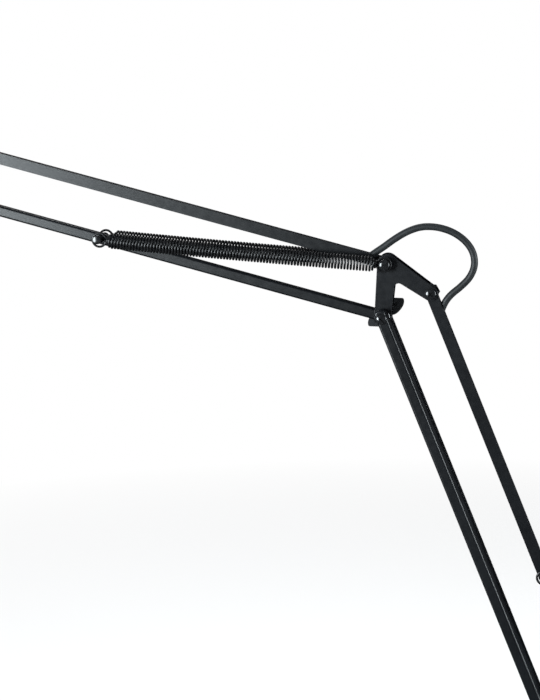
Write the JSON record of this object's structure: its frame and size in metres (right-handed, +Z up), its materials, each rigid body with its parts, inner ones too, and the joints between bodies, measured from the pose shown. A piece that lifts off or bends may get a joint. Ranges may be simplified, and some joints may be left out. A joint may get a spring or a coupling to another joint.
{
  "type": "architect desk lamp",
  "caption": "Spring-balanced desk lamp with parallel square-tube arms, a level-keeping elbow bracket, a bell shade and a round weighted base.",
  "frame": {"origin": "centre of the round base's underside, where the lamp stands", "axes": "+Z up, +X from the base towards the back of the arms, so that the head reaches out along -X; the front, where the screw heads are, is -Y"},
  "size_m": [0.8911, 0.391, 0.6561],
  "materials": {
    "black_paint": "satin black paint on steel",
    "black_hardware": "glossy blackened steel",
    "spring_steel": "blackened spring wire",
    "weight_iron": "rough casting",
    "head_aluminium": "satin black paint on spun aluminium",
    "lead_sheath": "smooth flexible sheath",
    "moulded_plastic": "fine moulded texture",
    "tie_strap": "woven strap",
    "felt": "pressed felt",
    "bulb_glass": "opal"
  },
  "bodies": {
    "base": {"base_pad": "felt", "base_weight": "weight_iron", "base_cover": "black_paint", "swivel_socket": "black_hardware", "cord_strain_relief": "moulded_plastic", "mains_cord": "lead_sheath", "cord_coil": "lead_sheath", "cord_tie": "tie_strap", "cord_tail": "lead_sheath", "mains_plug": "moulded_plastic"},
    "swivel": {"swivel_yoke": "black_paint", "base_plate_front": "black_paint", "base_plate_rear": "black_paint", "base_spring_post": "black_hardware", "base_right_bolt": "black_hardware", "base_right_nut": "black_hardware", "base_left_bolt": "black_hardware", "base_left_nut": "black_hardware", "base_lead": "lead_sheath"},
    "lower_center": {"lower_center_bar": "black_paint", "lower_spring_pin": "black_hardware", "lower_lead": "lead_sheath", "lower_spring_front": "spring_steel", "lower_spring_rear": "spring_steel"},
    "lower_sides": {"lower_front_bar": "black_paint", "lower_rear_bar": "black_paint"},
    "elbow": {"elbow_plate_front": "black_paint", "elbow_plate_rear": "black_paint", "elbow_top_bolt": "black_hardware", "elbow_top_nut": "black_hardware", "elbow_spool_front": "black_hardware", "elbow_spool_rear": "black_hardware", "elbow_right_bolt": "black_hardware", "elbow_right_nut": "black_hardware", "elbow_bottom_bolt": "black_hardware", "elbow_washer_front": "black_hardware", "elbow_washer_rear": "black_hardware", "elbow_lead_upper": "lead_sheath", "elbow_lead_lower": "lead_sheath"},
    "elbow_wing": {"elbow_wing_nut": "black_hardware"},
    "upper_top": {"upper_top_bar": "black_paint", "upper_lead": "lead_sheath"},
    "upper_bottom": {"upper_bottom_bar": "black_paint", "upper_spring_pin": "black_hardware", "upper_spring_front": "spring_steel", "upper_spring_rear": "spring_steel"},
    "head_bracket": {"head_plate_front": "black_paint", "head_plate_rear": "black_paint", "head_top_bolt": "black_hardware", "head_bottom_bolt": "black_hardware", "head_tilt_bolt": "black_hardware", "head_lead_upper": "lead_sheath"},
    "head_wing": {"head_wing_nut": "black_hardware"},
    "head": {"head_knuckle": "head_aluminium", "socket_cap": "head_aluminium", "shade": "head_aluminium", "lamp_holder": "moulded_plastic", "bulb": "bulb_glass", "head_lead_lower": "lead_sheath"},
    "switch": {"switch_knob": "moulded_plastic"}
  },
  "joints": [
    {"name": "swivel_turn", "type": "hinge", "parent": "base", "child": "swivel", "pos_m": [0, 0, 0.03], "axis": [0, 0, 1], "range_deg": [-170, 170]},
    {"name": "lower_arm", "type": "hinge", "parent": "swivel", "child": "lower_center", "pos_m": [0.02161, 0, 0.09532], "axis": [0, 1, 0], "range_deg": [-30, 28], "deforming": ["lower_spring_front", "lower_spring_rear", "base_lead"]},
    {"name": "lower_sides_turn", "type": "hinge", "parent": "swivel", "child": "lower_sides", "pos_m": [-0.0216, 0, 0.0733], "axis": [0, 1, 0], "range_deg": [-30, 28]},
    {"name": "elbow_level", "type": "hinge", "parent": "lower_center", "child": "elbow", "pos_m": [-0.14294, 0, 0.49259], "axis": [0, 1, 0], "range_deg": [-28, 30], "deforming": ["elbow_lead_lower"]},
    {"name": "elbow_wing_turn", "type": "hinge", "parent": "elbow", "child": "elbow_wing", "pos_m": [-0.18615, 0, 0.47057], "axis": [0, 1, 0], "range_deg": [-60, 60]},
    {"name": "upper_arm", "type": "hinge", "parent": "elbow", "child": "upper_top", "pos_m": [-0.18446, 0, 0.51904], "axis": [0, 1, 0], "range_deg": [-40, 35], "deforming": ["upper_spring_front", "upper_spring_rear", "elbow_lead_upper"]},
    {"name": "upper_bottom_turn", "type": "hinge", "parent": "elbow", "child": "upper_bottom", "pos_m": [-0.18615, 0, 0.47057], "axis": [0, 1, 0], "range_deg": [-40, 35]},
    {"name": "head_level", "type": "hinge", "parent": "upper_top", "child": "head_bracket", "pos_m": [-0.61121, 0, 0.62623], "axis": [0, 1, 0], "range_deg": [-35, 40], "deforming": ["head_lead_upper"]},
    {"name": "head_tilt", "type": "hinge", "parent": "head_bracket", "child": "head", "pos_m": [-0.65611, 0, 0.59978], "axis": [0, 1, 0], "range_deg": [-20, 75], "deforming": ["head_lead_lower"]},
    {"name": "head_wing_turn", "type": "hinge", "parent": "head_bracket", "child": "head_wing", "pos_m": [-0.65611, 0, 0.59978], "axis": [0, 1, 0], "range_deg": [-60, 60]},
    {"name": "switch_turn", "type": "hinge", "parent": "head", "child": "switch", "pos_m": [-0.72, 0, 0.55278], "axis": [1, 0, 0], "range_deg": [0, 90]}
  ],
  "couplings": [
    {"joint": "lower_sides_turn", "follows": "lower_arm", "ratio": 1},
    {"joint": "elbow_level", "follows": "lower_arm", "ratio": -1},
    {"joint": "upper_bottom_turn", "follows": "upper_arm", "ratio": 1},
    {"joint": "head_level", "follows": "upper_arm", "ratio": -1}
  ]
}
